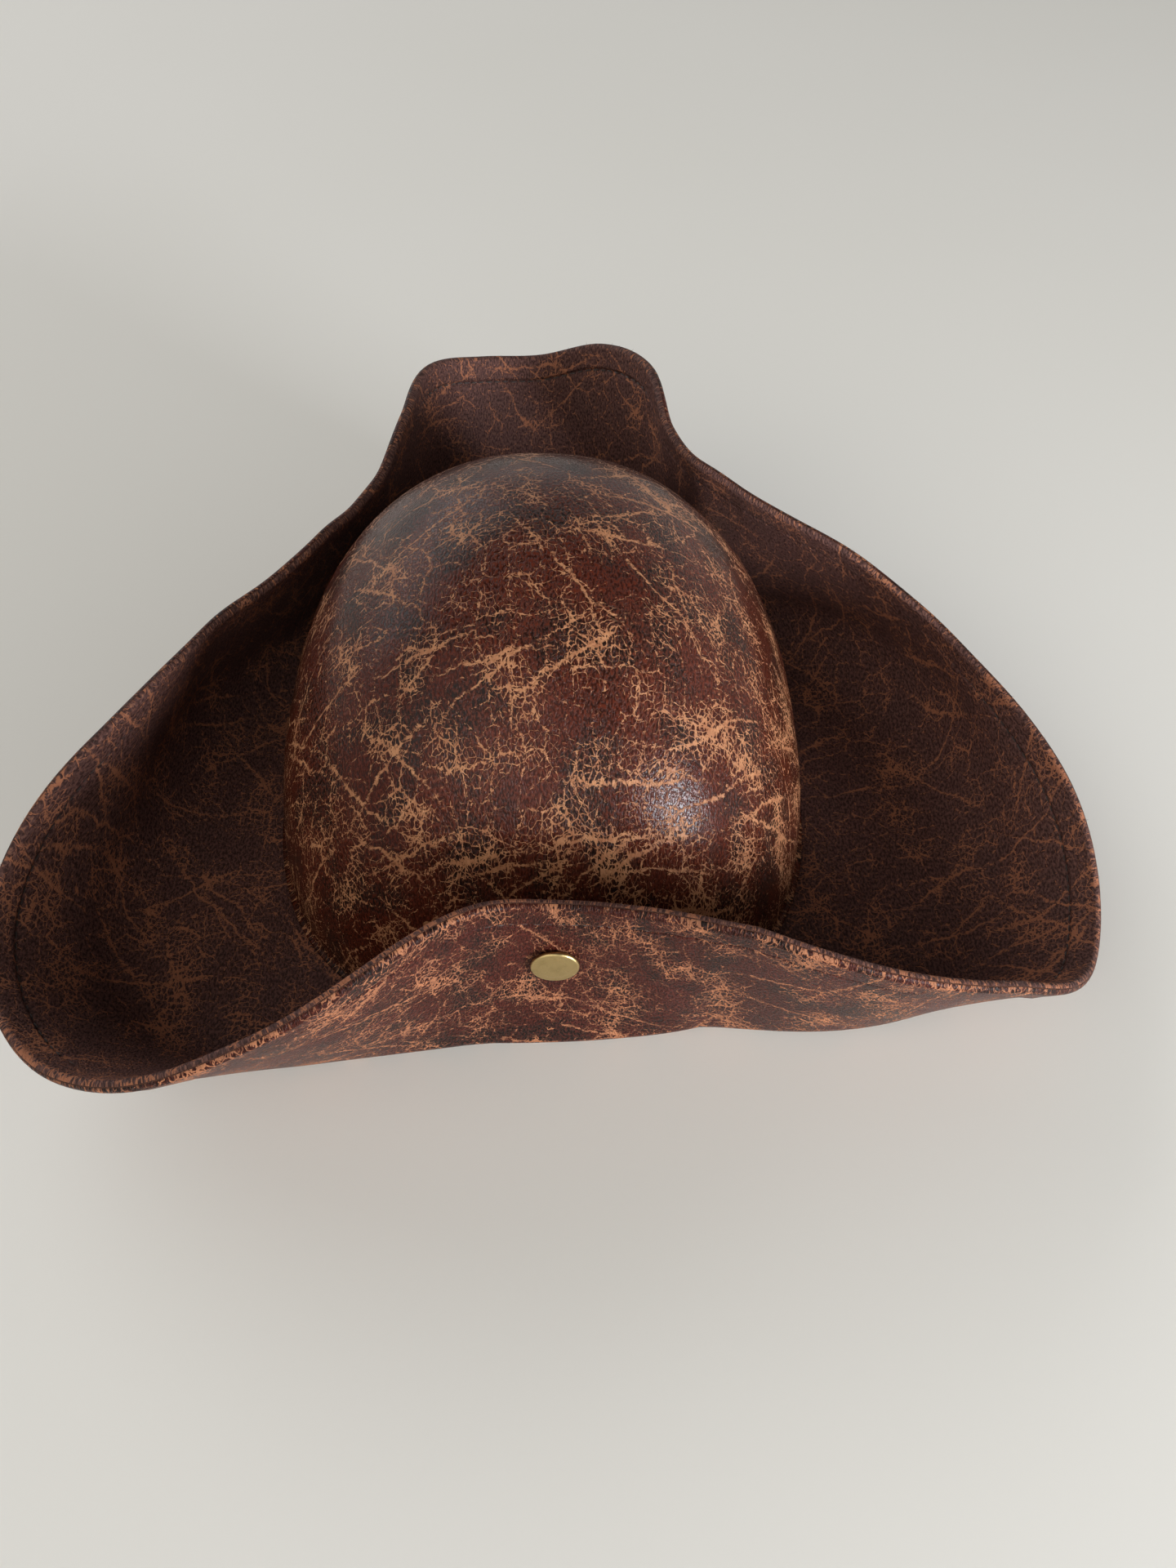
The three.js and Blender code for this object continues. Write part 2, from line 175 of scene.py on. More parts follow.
# %% Leather material
def leather(name, shift, skin, charcoal, tan, lean, gloss, shine):
    """Coated leather. Colours are sRGB text. lean is the slope of its wear and its start,
    gloss is its roughness where it isn't worn, and shine is its specular level."""
    material = bpy.data.materials.new(name)
    material.use_nodes = True
    tree = material.node_tree
    tree.nodes.clear()

    # Place on the piece, pushed about by noise of three sizes, so that no line is straight
    here = add_node(tree, "ShaderNodeAttribute", attribute_name="flat_place").outputs["Vector"]
    place = add_node(tree, "ShaderNodeMapping", {"Vector": here, "Location": shift}).outputs[0]
    pushed = place
    for size, push in PUSHES:
        noise = add_node(tree, "ShaderNodeTexNoise", {"Vector": place, "Scale": 1 / size},
                         noise_dimensions="2D")
        middle = add_node(tree, "ShaderNodeVectorMath", {0: noise.outputs["Color"], 1: (0.5,) * 3},
                          operation="SUBTRACT")
        scaled = add_node(tree, "ShaderNodeVectorMath", {0: middle.outputs[0], "Scale": push},
                          operation="SCALE")
        pushed = add_node(tree, "ShaderNodeVectorMath", {
            0: pushed, 1: scaled.outputs["Vector"]}).outputs["Vector"]

    # Distance from the web, from the crackle and from three sets of long creases
    known = {"gloss": gloss}
    for label, size in (("web", WEB_SIZE), ("crackle", CRACKLE_SIZE)):
        known[label] = add_node(tree, "ShaderNodeTexVoronoi", {
            "Vector": pushed, "Scale": 1 / size}, voronoi_dimensions="2D",
            feature="DISTANCE_TO_EDGE").outputs["Distance"]
    for label, turn in STROKE_TURNS.items():
        along = add_node(tree, "ShaderNodeMapping", {
            "Vector": pushed, "Rotation": (0, 0, turn), "Scale": STROKE_SIZE},
            vector_type="TEXTURE")
        known[label] = add_node(tree, "ShaderNodeTexVoronoi", {
            "Vector": along.outputs[0], "Scale": 1.0}, voronoi_dimensions="2D").outputs["Distance"]

    # Slow and torn noise, and the wear that grows in one direction
    known["slow"] = add_node(tree, "ShaderNodeTexNoise", {
        "Vector": place, "Scale": 1 / BLOTCH_SIZE, "Detail": 3},
        noise_dimensions="2D").outputs["Fac"]
    feathers = add_node(tree, "ShaderNodeMapping", {
        "Vector": pushed, "Scale": (1 / FEATHER_LENGTH, 1 / FEATHER_WIDTH, 1)})
    known["torn"] = add_node(tree, "ShaderNodeTexNoise", {
        "Vector": feathers.outputs[0], "Scale": 1.0, "Detail": 4, "Roughness": 0.65},
        noise_dimensions="2D").outputs["Fac"]
    spot = add_node(tree, "ShaderNodeTexCoord").outputs["Object"]
    slope = add_node(tree, "ShaderNodeVectorMath", {0: spot, 1: lean[0]}, operation="DOT_PRODUCT")
    known["lean"] = add_node(tree, "ShaderNodeMath", {
        0: slope.outputs["Value"], 1: lean[1]}).outputs[0]
    for label in ("inside", "near hem", "edge"):
        known[label] = add_node(tree, "ShaderNodeAttribute",
                                attribute_name=label.replace(" ", "_")).outputs["Fac"]

    # Woven grain: dashes drawn 0.7 mm wide and about 1.2 mm long, a little coarser than real
    # ones, which are too fine to show
    dashes = add_node(tree, "ShaderNodeMapping", {"Vector": place, "Scale": DASHES_PER_METRE})
    known["weave"] = add_node(tree, "ShaderNodeTexNoise", {
        "Vector": dashes.outputs[0], "Scale": 1.0, "Detail": 2, "Roughness": 0.6},
        noise_dimensions="2D").outputs["Fac"]
    add_rule(tree, known, CRACK_RULE)

    # Skin colour: two red-browns, charcoal patches, a greyer inner side in painted shade, the
    # dashes
    def field(size, detail, low, high, offset):
        moved = add_node(tree, "ShaderNodeVectorMath", {0: place, 1: (offset,) * 3})
        noise = add_node(tree, "ShaderNodeTexNoise", {
            "Vector": moved.outputs[0], "Scale": 1 / size, "Detail": detail, "Roughness": 0.6},
            noise_dimensions="2D")
        return add_node(tree, "ShaderNodeMapRange", {
            "Value": noise.outputs["Fac"], "From Min": low, "From Max": high}).outputs[0]

    warm = add_node(tree, "ShaderNodeMix", {
        "Factor": field(WARM_SIZE, 3, 0.4, 0.6, 2.1), 6: colour(skin[0]), 7: colour(skin[1])},
        data_type="RGBA")
    soot = add_node(tree, "ShaderNodeMath", {
        0: field(CHARCOAL_SIZE, 5, 0.46, 0.62, 0.3), 1: known["sooty"]}, operation="MULTIPLY")
    dark = add_node(tree, "ShaderNodeMix", {
        "Factor": soot.outputs[0], 6: warm.outputs[2], 7: colour(charcoal)}, data_type="RGBA")
    side = add_node(tree, "ShaderNodeMix", {
        "Factor": known["painted_inner_shade"], 6: dark.outputs[2], 7: colour(SHADE_PAINTED_INNER_SKIN)}, data_type="RGBA")
    fleck = add_node(tree, "ShaderNodeMapRange", {
        "Value": known["weave"], "From Min": 0.36, "From Max": 0.64, "To Min": 0.45, "To Max": 1.4})
    woven = add_node(tree, "ShaderNodeVectorMath", {0: side.outputs[2], "Scale": fleck.outputs[0]},
                     operation="SCALE")

    # Ground colour in the cracks, its own painted-shade one inside, and the brim's rubbed edge
    ground = add_node(tree, "ShaderNodeMix", {
        "Factor": field(GROUND_SIZE, 3, 0.35, 0.65, 3.3), 6: colour(tan[0]), 7: colour(tan[1])},
        data_type="RGBA")
    painted_inner_shade = add_node(tree, "ShaderNodeMix", {
        "Factor": known["painted_inner_shade"], 6: ground.outputs[2], 7: colour(SHADE_PAINTED_INNER_GROUND)},
        data_type="RGBA")
    face = add_node(tree, "ShaderNodeMix", {
        "Factor": known["worn"], 6: woven.outputs[0], 7: painted_inner_shade.outputs[2]}, data_type="RGBA")
    final = add_node(tree, "ShaderNodeMix", {
        "Factor": known["rim"], 6: face.outputs[2], 7: colour(RUBBED_EDGE)}, data_type="RGBA")

    # Relief: grain on the skin, and cracks a little below it that are also duller
    grainy = add_node(tree, "ShaderNodeBump", {
        "Height": known["grain"], "Strength": 1.0, "Distance": GRAIN_DEPTH})
    cracks = add_node(tree, "ShaderNodeBump", {
        "Height": known["worn"], "Normal": grainy.outputs[0], "Strength": 0.5,
        "Distance": CRACK_DEPTH}, invert=True)
    shader = add_node(tree, "ShaderNodeBsdfPrincipled", {
        "Base Color": final.outputs[2], "Roughness": known["roughness"],
        "Normal": cracks.outputs[0], "Specular IOR Level": shine})
    add_node(tree, "ShaderNodeOutputMaterial", {"Surface": shader.outputs[0]})
    return material


crown_leather = leather("distressed_leather_crown", (0, 0, 0), ("461c10", "4c2216"), "2a1c16",
                        ("b27e58", "9a6646"), ((2.0, -2.2, 0), 0.08), 0.15, 0.16)
# The brim's skin, charcoal and tan are a darker copy of the crown's: it is the same leather, and
# the darker colours are painted shade for the brim's shaded flaps and hollows
brim_leather = leather("distressed_leather_brim", (0.4, 0.1, 0.2), ("441d16", "3c1912"), "231814",
                       ("a46c4c", "885a42"), ((0, -2.2, 0), 0.0), 0.34, 0.1)
print("leather materials", crown_leather.name, brim_leather.name)

# %% [markdown]
# ## The shape of the crown
#
# The crown is one dome: its plan is a squarish oval that grows rounder towards the top, and
# its side outline is close to an ellipse. Both are superellipses, so one rule gives every
# point, and Geometry Nodes can bend a flat grid by that rule. The grid is one skin: its
# rows run from the middle of the lining side down to the foot, round the foot, and up the
# outside to the top again. Merging then closes the two poles and the seam. The last rows of
# the rule roll the dome out flat from its top, for the pattern of the leather.

# %% Sizes of the crown
CROWN_WIDTH, CROWN_LENGTH, CROWN_HEIGHT, CROWN_WALL = 0.167, 0.184, 0.116, 0.002
FOOT_SQUARENESS, TOP_SQUARENESS, DOME_SQUARENESS = 2.55, 2.25, 1.95
FOOT_HEIGHT, FOOT_RADIUS = 0.0021, 0.002
SWELL_SIZE, UNEVENNESS = 0.035, 0.0009
ROW_PACKING, MERGE_DISTANCE = 1.6, 1e-6
SIDE_SHIFT = 0.5    # sets the pattern of the inner side apart from that of the outer
print("crown", CROWN_WIDTH, CROWN_LENGTH, CROWN_HEIGHT)

# %% Crown tree: inputs and the grid
crown_tree = bpy.data.node_groups.new("crown_dome", "GeometryNodeTree")
crown_sizes = {
    "Width": CROWN_WIDTH, "Length": CROWN_LENGTH, "Height": CROWN_HEIGHT, "Wall": CROWN_WALL,
    "Foot height": FOOT_HEIGHT, "Foot radius": FOOT_RADIUS, "Foot squareness": FOOT_SQUARENESS,
    "Top squareness": TOP_SQUARENESS, "Dome squareness": DOME_SQUARENESS, "Unevenness": UNEVENNESS,
}
crown_sockets = {}
for label in (*crown_sizes, "Middle"):
    kind = "NodeSocketVector" if label == "Middle" else "NodeSocketFloat"
    crown_sockets[label] = crown_tree.interface.new_socket(label, socket_type=kind).identifier
crown_tree.interface.new_socket("Geometry", in_out="OUTPUT", socket_type="NodeSocketGeometry")
crown_in = add_node(crown_tree, "NodeGroupInput").outputs
COLUMNS, ROWS = 241, 96
crown_grid = add_node(crown_tree, "GeometryNodeMeshGrid", {
    "Size X": 1.0, "Size Y": 1.0, "Vertices X": COLUMNS, "Vertices Y": 2 * ROWS})
grid_place = add_node(crown_tree, "ShaderNodeSeparateXYZ", {
    0: add_node(crown_tree, "GeometryNodeInputPosition").outputs[0]})
print("crown grid", COLUMNS, "by", 2 * ROWS)

# %% Crown tree: the rule, one sum to a row
known = {label: crown_in[label] for label in crown_sizes}
known.update(x=grid_place.outputs[0], y=grid_place.outputs[1])
CROWN_RULE = (
    ("angle", "MULTIPLY_ADD", "x", 2 * math.pi, math.pi),
    ("row", "MULTIPLY", "y", 2 * ROWS - 1),
    ("from foot", "ABSOLUTE", "row"),
    ("step", "SUBTRACT", "from foot", 0.5),
    ("share of rows", "DIVIDE", "step", ROWS - 1),
    ("packed", "POWER", "share of rows", ROW_PACKING),
    ("climb", "MULTIPLY", "packed", math.pi / 2),
    ("outer", "GREATER_THAN", "y", 0.0),
    ("inner", "SUBTRACT", 1.0, "outer"),
    ("inset", "MULTIPLY", "Wall", "inner"),
    ("power", "DIVIDE", 2.0, "Dome squareness"),
    ("cosine", "COSINE", "climb"),
    ("plus cosine", "MAXIMUM", "cosine", 0.0),
    ("share", "POWER", "plus cosine", "power"),
    ("sine", "SINE", "climb"),
    ("rise", "POWER", "sine", "power"),
    ("top", "SUBTRACT", "Height", "inset"),
    ("tall", "SUBTRACT", "top", "Foot height"),
    ("above foot", "MULTIPLY", "tall", "rise"),
    ("z", "ADD", "above foot", "Foot height"),
    ("squareness change", "SUBTRACT", "Top squareness", "Foot squareness"),
    ("squareness", "MULTIPLY_ADD", "squareness change", "rise", "Foot squareness"),
    ("half width", "MULTIPLY", "Width", 0.5),
    ("half length", "MULTIPLY", "Length", 0.5),
    ("x reach", "SUBTRACT", "half width", "inset"),
    ("y reach", "SUBTRACT", "half length", "inset"),
    ("c", "COSINE", "angle"),
    ("s", "SINE", "angle"),
    ("abs c", "ABSOLUTE", "c"),
    ("abs s", "ABSOLUTE", "s"),
    ("x share", "DIVIDE", "abs c", "x reach"),
    ("y share", "DIVIDE", "abs s", "y reach"),
    ("x term", "POWER", "x share", "squareness"),
    ("y term", "POWER", "y share", "squareness"),
    ("terms", "ADD", "x term", "y term"),
    ("root", "DIVIDE", -1.0, "squareness"),
    ("plan reach", "POWER", "terms", "root"),
    ("reach", "MULTIPLY", "plan reach", "share"),
    ("below fillet", "SUBTRACT", "Foot radius", "above foot"),
    ("in fillet", "MAXIMUM", "below fillet", 0.0),
    ("fillet square", "POWER", "in fillet", 2.0),
    ("radius square", "POWER", "Foot radius", 2.0),
    ("left over", "SUBTRACT", "radius square", "fillet square"),
    ("fillet cover", "SQRT", "left over"),
    ("fillet gap", "SUBTRACT", "Foot radius", "fillet cover"),
    ("spread", "MULTIPLY", "fillet gap", "outer"),
    ("radius", "ADD", "reach", "spread"),
    ("unclimbed", "SUBTRACT", math.pi / 2, "climb"),
    ("flat radius", "MULTIPLY", "plan reach", "unclimbed"),
    ("flat x", "MULTIPLY", "flat radius", "c"),
    ("flat y", "MULTIPLY", "flat radius", "s"),
    ("flat x by side", "MULTIPLY_ADD", "inner", SIDE_SHIFT, "flat x"),
)
add_rule(crown_tree, known, CROWN_RULE)
print("crown rule", len(CROWN_RULE), "sums")

# %% Crown tree: bend the grid, close it and finish it
out_way = add_node(crown_tree, "ShaderNodeCombineXYZ", {0: known["c"], 1: known["s"]})
level = add_node(crown_tree, "ShaderNodeVectorMath", {
    0: out_way.outputs[0], "Scale": known["radius"]}, operation="SCALE")
upright = add_node(crown_tree, "ShaderNodeCombineXYZ", {2: known["z"]})
bent = add_node(crown_tree, "ShaderNodeVectorMath", {
    0: level.outputs[0], 1: upright.outputs[0]})
known["slow"] = add_node(crown_tree, "ShaderNodeTexNoise", {
    "Vector": bent.outputs[0], "Scale": 1 / SWELL_SIZE, "Detail": 1}).outputs["Fac"]
add_rule(crown_tree, known, (
    ("swing", "SUBTRACT", "slow", 0.5),
    ("amount", "MULTIPLY", "swing", "Unevenness"),
    ("fade", "MULTIPLY", "amount", "share"),
))
ripple = add_node(crown_tree, "ShaderNodeVectorMath", {
    0: out_way.outputs[0], "Scale": known["fade"]}, operation="SCALE")
uneven = add_node(crown_tree, "ShaderNodeVectorMath", {0: bent.outputs[0], 1: ripple.outputs[0]})
placed = add_node(crown_tree, "ShaderNodeVectorMath", {
    0: uneven.outputs[0], 1: crown_in["Middle"]})
lining = add_node(crown_tree, "GeometryNodeStoreNamedAttribute", {
    "Geometry": crown_grid.outputs["Mesh"], "Name": "inside", "Value": known["inner"]},
    data_type="FLOAT", domain="POINT")
flat_spot = add_node(crown_tree, "ShaderNodeCombineXYZ", {
    0: known["flat x by side"], 1: known["flat y"]})
pattern = add_node(crown_tree, "GeometryNodeStoreNamedAttribute", {
    "Geometry": lining.outputs[0], "Name": "flat_place", "Value": flat_spot.outputs[0]},
    data_type="FLOAT_VECTOR", domain="POINT")
shell = add_node(crown_tree, "GeometryNodeSetPosition", {
    "Geometry": pattern.outputs[0], "Position": placed.outputs[0]})
closed = add_node(crown_tree, "GeometryNodeMergeByDistance", {
    "Geometry": shell.outputs[0], "Distance": MERGE_DISTANCE})
smooth = add_node(crown_tree, "GeometryNodeSetShadeSmooth", {"Geometry": closed.outputs[0]})
real = add_node(crown_tree, "GeometryNodeRealizeInstances", {"Geometry": smooth.outputs[0]})
coated = add_node(crown_tree, "GeometryNodeSetMaterial", {
    "Geometry": real.outputs[0], "Material": crown_leather})
add_node(crown_tree, "NodeGroupOutput", {0: coated.outputs[0]})
print("crown tree", len(crown_tree.nodes), "nodes")


# %% Run a Geometry Nodes tree into a plain mesh
def grow(name, tree, sizes, sockets, start=None):
    """Runs the tree on an object and returns the result as a plain mesh object."""
    holder = bpy.data.objects.new(name + "_tree", start or bpy.data.meshes.new(name + "_start"))
    bpy.context.scene.collection.objects.link(holder)
    modifier = holder.modifiers.new("nodes", "NODES")
    modifier.node_group = tree
    for label, value in sizes.items():
        modifier[sockets[label]] = value
    evaluated = holder.evaluated_get(bpy.context.evaluated_depsgraph_get())
    mesh = bpy.data.meshes.new_from_object(evaluated)
    holder.modifiers.remove(modifier)
    bpy.data.objects.remove(holder)
    piece = bpy.data.objects.new(name, mesh)
    bpy.context.scene.collection.objects.link(piece)
    print(name, len(mesh.vertices), "points", len(mesh.polygons), "faces")
    return piece


crown = grow("crown_shell", crown_tree, {**crown_sizes, "Middle": CENTRE[:]}, crown_sockets)
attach(crown, "root")
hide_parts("crown")

# %% [markdown]
# ## The shape of the brim
#
# The brim was cut flat, sewn to the crown, and bent up by hand, so no single rule gives it.
# What the hand did changes from place to place: how far the leather lies flat, how round
# the fold is, how steeply the face stands, and how wide the brim is. A short table names
# those at some angles around the crown, a smooth closed curve joins the rows, and then
# every point of the leather follows from its angle and its distance from the crown.

# %% Sizes of the brim
BRIM_WIDTH, BRIM_WALL = 0.096, 0.002
HEM_WIDTH, HEM_WALL, GROOVE_DEPTH, GROOVE_WIDTH = 0.009, 0.0034, 0.0005, 0.0015
LEAST_FLAT = 0.0023
BOWS = ((11, 0.0003), (17, 0.0002), (29, 0.0001))
PUCKERS = ((97, 0.00010), (131, 0.00009), (173, 0.00007))
PUCKER_REACH, PUCKERS_START = 0.004, 0.2
LENGTH_NUDGE, ANGLE_NUDGE = 3e-5, 0.03    # a metre and a degree step, for the normals
# Angle, turn and flare are in degrees, and the others in shares of the brim's width
COLUMN = {"angle": 0, "width": 1, "flat": 2, "bend": 3, "turn": 4, "flare": 5}
SECTIONS = np.array([
    (-90, 0.775, 0.02, 0.04, 96, 8), (-76, 0.82, 0.02, 0.045, 91, 8),
    (-62, 0.895, 0.045, 0.095, 79, 6), (-42, 1.005, 0.36, 0.155, 63, 0),
    (-28, 1.01, 0.555, 0.26, 39, 0), (-12, 1.01, 0.445, 0.27, 61, 0),
    (8, 0.945, 0.30, 0.25, 100, 0), (30, 0.96, 0.12, 0.18, 114, 4),
    (50, 0.955, 0.03, 0.10, 112, 6), (63, 0.96, 0.03, 0.10, 104, 6),
    (72, 1.03, 0.03, 0.16, 88, 6), (81, 1.05, 0.04, 0.24, 79, 6),
    (90, 1.03, 0.08, 0.27, 80, 5), (99, 1.02, 0.06, 0.24, 81, 6),
    (108, 1.02, 0.03, 0.18, 87, 6), (117, 0.98, 0.03, 0.11, 101, 6),
    (130, 0.94, 0.03, 0.10, 114, 5), (150, 0.96, 0.03, 0.14, 117, 0),
    (172, 0.975, 0.12, 0.21, 117, 0), (192, 1.01, 0.25, 0.22, 98, 0),
    (208, 1.015, 0.435, 0.245, 50, 0), (222, 0.99, 0.435, 0.205, 44, 0),
    (242, 0.925, 0.15, 0.09, 65, 3), (256, 0.85, 0.04, 0.055, 88, 6),
])
print("brim table", SECTIONS.shape)


# %% Read the table at any angle
def column(name, angle):
    """One column of the table at any angles, in degrees, as a smooth closed curve."""
    first, rows = SECTIONS[0, 0], len(SECTIONS)
    at = (np.asarray(angle, float) - first) % 360 + first
    start = np.searchsorted(SECTIONS[:, 0], at, side="right") - 1
    steps = [start + i for i in (-1, 0, 1, 2)]
    x = [SECTIONS[s % rows, 0] + 360 * (s // rows) for s in steps]
    y = [SECTIONS[s % rows, COLUMN[name]] for s in steps]
    span = x[2] - x[1]
    t = (at - x[1]) / span
    slope_in = (y[2] - y[0]) / (x[2] - x[0]) * span
    slope_out = (y[3] - y[1]) / (x[3] - x[1]) * span
    from_start = (2 * t**3 - 3 * t**2 + 1) * y[1] + (t**3 - 2 * t**2 + t) * slope_in
    return from_start + (3 * t**2 - 2 * t**3) * y[2] + (t**3 - t**2) * slope_out


def wall_reach(angle):
    """Reach of the crown's foot from its middle."""
    turn = np.radians(angle)
    across = np.abs(np.cos(turn)) / (CROWN_WIDTH / 2)
    along = np.abs(np.sin(turn)) / (CROWN_LENGTH / 2)
    return (across**FOOT_SQUARENESS + along**FOOT_SQUARENESS) ** (-1 / FOOT_SQUARENESS)


def brim_sizes(angle):
    """Flat, fold radius, turn, flare, width and the end of the fold."""
    flat = np.maximum(column("flat", angle) * BRIM_WIDTH, LEAST_FLAT)
    bend = column("bend", angle) * BRIM_WIDTH
    turn, flare = np.radians(column("turn", angle)), np.radians(column("flare", angle))
    return flat, bend, turn, flare, column("width", angle) * BRIM_WIDTH, flat + bend * turn


def brim_point(angle, along):
    """Middle of the leather, `along` out from the crown wall, in the row's frame."""
    flat, bend, turn, flare, width, fold_end = brim_sizes(angle)
    folded = np.clip((along - flat) / bend, 0, turn)
    on_face = np.maximum(along - fold_end, 0)
    heading = turn - flare * on_face / (width - fold_end) / 2
    reach = (wall_reach(angle) + np.minimum(along, flat) + bend * np.sin(folded)
             + on_face * np.cos(heading))
    height = bend * (1 - np.cos(folded)) + on_face * np.sin(heading)
    turned = np.radians(angle)
    return np.stack([reach * np.cos(turned) + CENTRE.x, reach * np.sin(turned) + CENTRE.y,
                     BRIM_WALL / 2 + height], -1)


def brim_normal(angle, along):
    """Unit normal of the leather, on the side that faces away from the crown."""
    outward = brim_point(angle, along + LENGTH_NUDGE) - brim_point(angle, along - LENGTH_NUDGE)
    around = brim_point(angle + ANGLE_NUDGE, along) - brim_point(angle - ANGLE_NUDGE, along)
    normal = np.cross(around, outward)
    return normal / np.linalg.norm(normal, axis=-1, keepdims=True)


print("brim edge at the low flap", brim_point(-90.0, BRIM_WIDTH * 0.78).round(4))

# %% [markdown]
# ## The leather of the brim
#
# The brim is one closed shell: its profile runs out along the side that faces the crown,
# round the hem and back along the outer side. The hem is the edge turned back over itself
# and sewn down, so it is thicker, ends in a round edge, and has a shallow groove where the
# thread pulls it in. Hand bending leaves slow waves in the leather, and the seam puckers it
# a little, both of which are sums of sines around the hat. Four attributes go with it for
# the material: which side is the inside, how near a point is to the hem and to the cut edge,
# and where it lay in the flat pattern.

# %% Profile of the leather
STATIONS = 400
station = np.arange(STATIONS) * 360 / STATIONS
ROUND = 8


def profile(angle):
    """Places along the leather and half its thickness there, from crown to edge."""
    flat, _, _, _, width, fold_end = brim_sizes(angle)
    hem, edge = width - HEM_WIDTH, width - HEM_WALL / 2
    stops = [(-CROWN_WALL, flat, 8), (flat, fold_end, 22), (fold_end, hem - GROOVE_WIDTH, 26),
             (hem - GROOVE_WIDTH, hem + GROOVE_WIDTH, 12), (hem + GROOVE_WIDTH, edge, 8)]
    along = np.concatenate([np.linspace(a, b, n, endpoint=False) for a, b, n in stops]
                           + [edge + HEM_WALL / 2 * np.sin(np.linspace(0, np.pi / 2, ROUND + 1))])
    past = np.clip((along - hem) / GROOVE_WIDTH, -1, 1)
    thickening = np.where(past < 0, 0, past * past * (3 - 2 * past))
    body = BRIM_WALL + (HEM_WALL - BRIM_WALL) * thickening
    groove = 2 * GROOVE_DEPTH * (1 + np.cos(np.pi * past)) / 2
    rounding = np.sqrt(np.clip(1 - (np.maximum(along - edge, 0) / (HEM_WALL / 2)) ** 2, 0, 1))
    return along, (body - groove) / 2 * rounding, hem, width, flat


def waves(angle, table):
    """Sum of sines around the hat, one for each (count, height) of the table."""
    return sum(h * np.sin(np.radians(n * angle) + 2.4 * i + n) for i, (n, h) in enumerate(table))


def waved(angle, along):
    """Middle of the leather with its slow waves and the puckers of the seam, and its normal."""
    flat, _, _, _, width, _ = brim_sizes(angle)
    middle, normal = brim_point(angle, along), brim_normal(angle, along)
    free = np.clip((along - flat) / (width - flat), 0, 1)
    bow = waves(angle, BOWS) * free**2
    from_seam = along - width + HEM_WIDTH
    near_seam = np.exp(-((from_seam / PUCKER_REACH) ** 2)) * (free > PUCKERS_START)
    pull = waves(angle, PUCKERS) * near_seam
    return middle + normal * (bow + pull)[:, None], normal


print("profile points", len(profile(0.0)[0]))

# %% Brim shell
points, inside, near_hem, edge, flat_place = [], [], [], [], []
for angle in station:
    along, half, hem, width, flat = profile(angle)
    middle, normal = waved(angle, along)
    inner, outer = middle - normal * half[:, None], middle + normal * half[:, None]
    points.append(np.concatenate([inner, outer[-2::-1]]))
    inside.append(np.concatenate([np.ones(len(along)), np.zeros(len(along) - 1)]))
    nearness = np.clip((along - hem) / HEM_WIDTH + 0.1, 0, 1)
    near_hem.append(np.concatenate([nearness, nearness[-2::-1]]))
    rounded = np.clip((along - width) / (HEM_WALL / 2) + 1, 0, 1)
    edge.append(np.concatenate([rounded, rounded[-2::-1]]))
    radius = np.concatenate([along, along[-2::-1]]) + wall_reach(angle)
    turned = math.radians(angle)
    flat_place.append(np.stack([radius * math.cos(turned) + inside[-1] * SIDE_SHIFT,
                                radius * math.sin(turned), 0 * radius], -1))
RING = len(points[0])
faces = []
for i in range(STATIONS):
    k = (i + 1) % STATIONS
    for j in range(RING):
        m = (j + 1) % RING
        faces.append((i * RING + j, i * RING + m, k * RING + m, k * RING + j))
brim_mesh = bpy.data.meshes.new("brim_shell")
brim_mesh.from_pydata(np.concatenate(points).tolist(), [], faces)
for name, values in (("inside", inside), ("near_hem", near_hem), ("edge", edge)):
    layer = brim_mesh.attributes.new(name, "FLOAT", "POINT")
    layer.data.foreach_set("value", np.concatenate(values).astype(np.float32))
layer = brim_mesh.attributes.new("flat_place", "FLOAT_VECTOR", "POINT")
layer.data.foreach_set("vector", np.concatenate(flat_place).astype(np.float32).ravel())
brim_mesh.polygons.foreach_set("use_smooth", [True] * len(brim_mesh.polygons))
brim_mesh.materials.append(brim_leather)
brim_mesh.update()
brim = bpy.data.objects.new("brim_shell", brim_mesh)
bpy.context.scene.collection.objects.link(brim)
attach(brim, "root")
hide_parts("brim")
print("brim", len(brim_mesh.vertices), "points", len(brim_mesh.polygons), "faces")

# %% [markdown]
# ## Stitches and frayed edge
#
# The hem is held by one row of stitches, whose thread lies in the groove on both faces. The
# raw cut edge has frayed into short fibres. Both follow a path round the brim, which Python
# works out from the same rules as the shell, and Geometry Nodes puts a small form at even
# steps along it, so a stitch turns with the seam. Fibres take a random turn and length.

# %% Paths round the brim
THREAD, STITCH_STEP, STITCH_LENGTH = 0.0006, 0.0032, 0.0026
FIBRE, FIBRE_STEP, FIBRE_LENGTH, FIBRE_INSET = 0.00012, 0.0035, 0.0011, 0.0003
STREAK_SIZE, FLUFF_SIZE = 0.0004, 0.0008
PATH_STATIONS = 1200


def path_mesh(name, sides, depth, from_edge):
    """A mesh with one closed line of edges for each side of the brim, at a depth and place."""
    spots, links = [], []
    for side in sides:
        first = len(spots)
        for angle in np.arange(PATH_STATIONS) * 360 / PATH_STATIONS:
            middle, normal = waved(angle, np.array([brim_sizes(angle)[4] - from_edge]))
            spots.append((middle[0] + side * depth * normal[0]).tolist())
        links += [(first + i, first + (i + 1) % PATH_STATIONS) for i in range(PATH_STATIONS)]
    mesh = bpy.data.meshes.new(name)
    mesh.from_pydata(spots, links, [])
    return mesh


seam_path = path_mesh("seam_path", (-1, 1), BRIM_WALL / 2 - GROOVE_DEPTH + THREAD / 3, HEM_WIDTH)
edge_path = path_mesh("edge_path", (-1, 1), HEM_WALL / 4, FIBRE_INSET)
print("paths", len(seam_path.vertices), len(edge_path.vertices))


